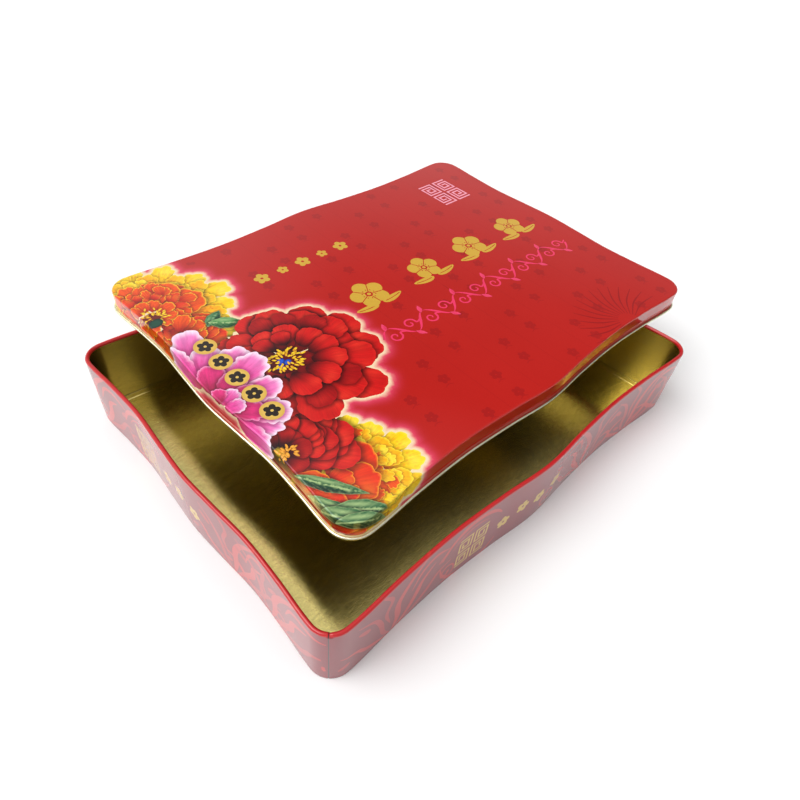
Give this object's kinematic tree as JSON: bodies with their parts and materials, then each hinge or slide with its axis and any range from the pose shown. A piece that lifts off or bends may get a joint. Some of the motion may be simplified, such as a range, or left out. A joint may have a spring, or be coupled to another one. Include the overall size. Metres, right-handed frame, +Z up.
{
  "type": "lithographed tin",
  "caption": "Shallow rectangular gift tin with wavy sides: a tray with a rolled rim and a loose pressed lid with a curled edge, printed with peonies.",
  "frame": {"origin": "centre of the tray's underside, in the plane of its flat bottom", "axes": "+X along the tray's long sides, +Y along its short sides, +Z up; the side seam is at the -X -Y corner"},
  "size_m": [0.3165, 0.2465, 0.0571],
  "materials": {
    "printed_wall": "gloss lithographed red outside, gold lacquer inside",
    "gold_lacquer": "semi-gloss gold lacquer on tinplate",
    "printed_lid": "gloss varnished lithographed print, gold lacquer inside"
  },
  "bodies": {
    "tray": {"body_wall": "printed_wall", "bottom_plate": "gold_lacquer"},
    "lid": {"lid": "printed_lid"}
  },
  "joints": [
    {"name": "lid_lift", "type": "slide", "parent": "tray", "child": "lid", "axis": [0, 0, 1], "range_m": [0, 0.1]}
  ]
}
